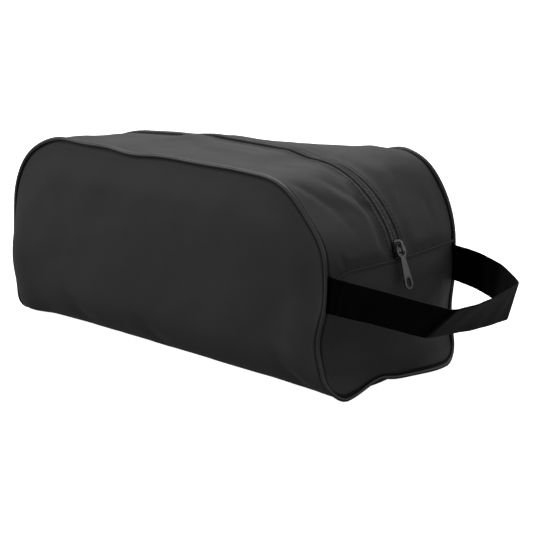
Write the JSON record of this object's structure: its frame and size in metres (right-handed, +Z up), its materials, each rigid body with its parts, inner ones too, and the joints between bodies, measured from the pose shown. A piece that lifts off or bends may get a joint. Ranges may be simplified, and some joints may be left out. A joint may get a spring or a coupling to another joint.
{
  "type": "shoe bag",
  "caption": "Soft zip-top shoe bag with rounded top corners, piped edges and a webbing carry loop at one end; the slider, its pull and the loop move.",
  "frame": {"origin": "middle of the base, on the ground", "axes": "+X along the bag towards the carry loop, +Y towards the back, +Z up"},
  "size_m": [0.4517, 0.148, 0.158],
  "materials": {
    "cloth": "matt charcoal-black coated polyester in a fine plain weave",
    "piping": "satin black coated piping",
    "cord": "plain grey cord, hidden",
    "binding": "matt black woven tape",
    "zip_tape": "black twill tape",
    "zip_coil": "satin black nylon coil",
    "zip_metal": "dark gunmetal, lightly worn",
    "webbing": "black satin webbing with woven edges"
  },
  "bodies": {
    "bag": {"body_panel": "cloth", "end_panel_right": "cloth", "end_panel_left": "cloth", "top_panel_front": "cloth", "top_panel_back": "cloth", "piping_cover": "piping", "piping_cord": "cord", "seam_binding": "binding", "end_binding_right": "binding", "end_binding_left": "binding", "zip_tape_front": "zip_tape", "zip_tape_back": "zip_tape", "zip_coil_front": "zip_coil", "zip_coil_back": "zip_coil", "coil_cord_front": "cord", "coil_cord_back": "cord", "zip_top_stops": "zip_metal", "zip_bottom_stop": "zip_metal", "strap_ends": "webbing"},
    "slider": {"slider_body": "zip_metal", "slider_bridge": "zip_metal"},
    "pull": {"pull_tab": "zip_metal"},
    "loop": {"strap_loop": "webbing"}
  },
  "joints": [
    {"name": "slider_travel", "type": "hinge", "parent": "bag", "child": "slider", "pos_m": [0.093, 0, 0.0715], "axis": [0, -1, 0], "range_deg": [0, 65]},
    {"name": "pull_swing", "type": "hinge", "parent": "slider", "child": "pull", "pos_m": [0.17551, 0, 0.10479], "axis": [0, -1, 0], "range_deg": [0, 170]},
    {"name": "loop_swing", "type": "hinge", "parent": "bag", "child": "loop", "pos_m": [0.1858, 0, 0.079], "axis": [0, -1, 0], "range_deg": [-42, 80]}
  ]
}
